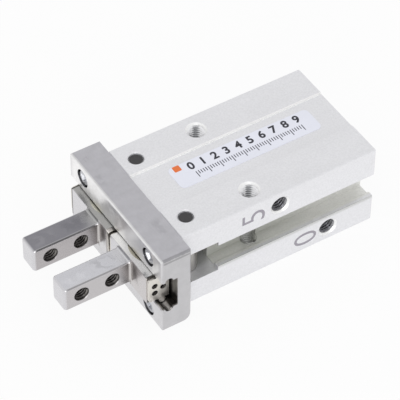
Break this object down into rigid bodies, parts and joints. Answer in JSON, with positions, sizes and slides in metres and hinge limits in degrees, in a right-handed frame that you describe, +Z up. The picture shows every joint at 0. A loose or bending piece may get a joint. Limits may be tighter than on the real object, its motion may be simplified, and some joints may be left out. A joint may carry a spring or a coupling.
{
  "type": "pneumatic parallel gripper",
  "caption": "Compact pneumatic parallel gripper: anodised body with cylinder, levers and a linear guide in which slim fingers slide together and apart.",
  "frame": {"origin": "under the middle of the whole gripper, on the flat face that it lies on", "axes": "+X towards the fingertips, +Y the side with the air ports, +Z up out of the face that carries the label"},
  "size_m": [0.057, 0.029, 0.0164],
  "materials": {
    "anodised_aluminium": "clear anodised, fine even grain, satin",
    "guide_steel": "hardened stainless steel, ground faces",
    "screw_steel": "bright plated steel",
    "finger_steel": "hardened stainless steel, finely ground",
    "stopper_steel": "stamped stainless steel, bright",
    "ball_steel": "polished bearing steel",
    "nitrided_steel": "nitrided steel, dark grey",
    "piston_steel": "turned stainless steel",
    "seal_rubber": "black nitrile rubber",
    "magnet_rubber": "dark bonded magnet rubber",
    "holder_aluminium": "turned, plain",
    "cap_resin": "moulded dark resin",
    "ring_steel": "phosphated spring steel",
    "label_film": "pale printed film, satin"
  },
  "bodies": {
    "root": {"body": "anodised_aluminium", "finger_guide": "guide_steel", "guide_screws": "screw_steel", "lever_shaft_left": "nitrided_steel", "lever_shaft_right": "nitrided_steel", "rod_seal": "seal_rubber", "rod_seal_holder": "holder_aluminium", "rear_cap": "cap_resin", "cap_gasket": "seal_rubber", "retaining_ring": "ring_steel", "label": "label_film"},
    "piston": {"piston_rod": "piston_steel", "piston_seal": "seal_rubber", "piston_magnet": "magnet_rubber"},
    "lever_left": {"lever_left": "nitrided_steel"},
    "lever_right": {"lever_right": "nitrided_steel"},
    "finger_left": {"finger_left": "finger_steel", "inner_stopper_left": "stopper_steel", "outer_stopper_left": "stopper_steel"},
    "finger_right": {"finger_right": "finger_steel", "inner_stopper_right": "stopper_steel", "outer_stopper_right": "stopper_steel"},
    "ball_rows_left": {"balls_left": "ball_steel"},
    "ball_rows_right": {"balls_right": "ball_steel"}
  },
  "joints": [
    {"name": "piston_slide", "type": "slide", "parent": "root", "child": "piston", "axis": [1, 0, 0], "range_m": [0, 0.00183]},
    {"name": "lever_left_turn", "type": "hinge", "parent": "root", "child": "lever_left", "pos_m": [0.0062, 0.0077, 0.0082], "axis": [0, 0, 1], "range_deg": [0, 18.48]},
    {"name": "lever_right_turn", "type": "hinge", "parent": "root", "child": "lever_right", "pos_m": [0.0062, -0.0077, 0.0082], "axis": [0, 0, -1], "range_deg": [0, 18.48]},
    {"name": "finger_left_slide", "type": "slide", "parent": "root", "child": "finger_left", "axis": [0, 1, 0], "range_m": [0, 0.002]},
    {"name": "finger_right_slide", "type": "slide", "parent": "root", "child": "finger_right", "axis": [0, -1, 0], "range_m": [0, 0.002]},
    {"name": "ball_rows_left_roll", "type": "slide", "parent": "root", "child": "ball_rows_left", "axis": [0, 1, 0], "range_m": [0, 0.001]},
    {"name": "ball_rows_right_roll", "type": "slide", "parent": "root", "child": "ball_rows_right", "axis": [0, -1, 0], "range_m": [0, 0.001]}
  ],
  "couplings": [
    {"joint": "lever_left_turn", "follows": "piston_slide", "rad_per_m": 176.23},
    {"joint": "lever_right_turn", "follows": "piston_slide", "rad_per_m": 176.23},
    {"joint": "finger_left_slide", "follows": "piston_slide", "ratio": 1.0929},
    {"joint": "finger_right_slide", "follows": "piston_slide", "ratio": 1.0929},
    {"joint": "ball_rows_left_roll", "follows": "piston_slide", "ratio": 0.54645},
    {"joint": "ball_rows_right_roll", "follows": "piston_slide", "ratio": 0.54645}
  ]
}
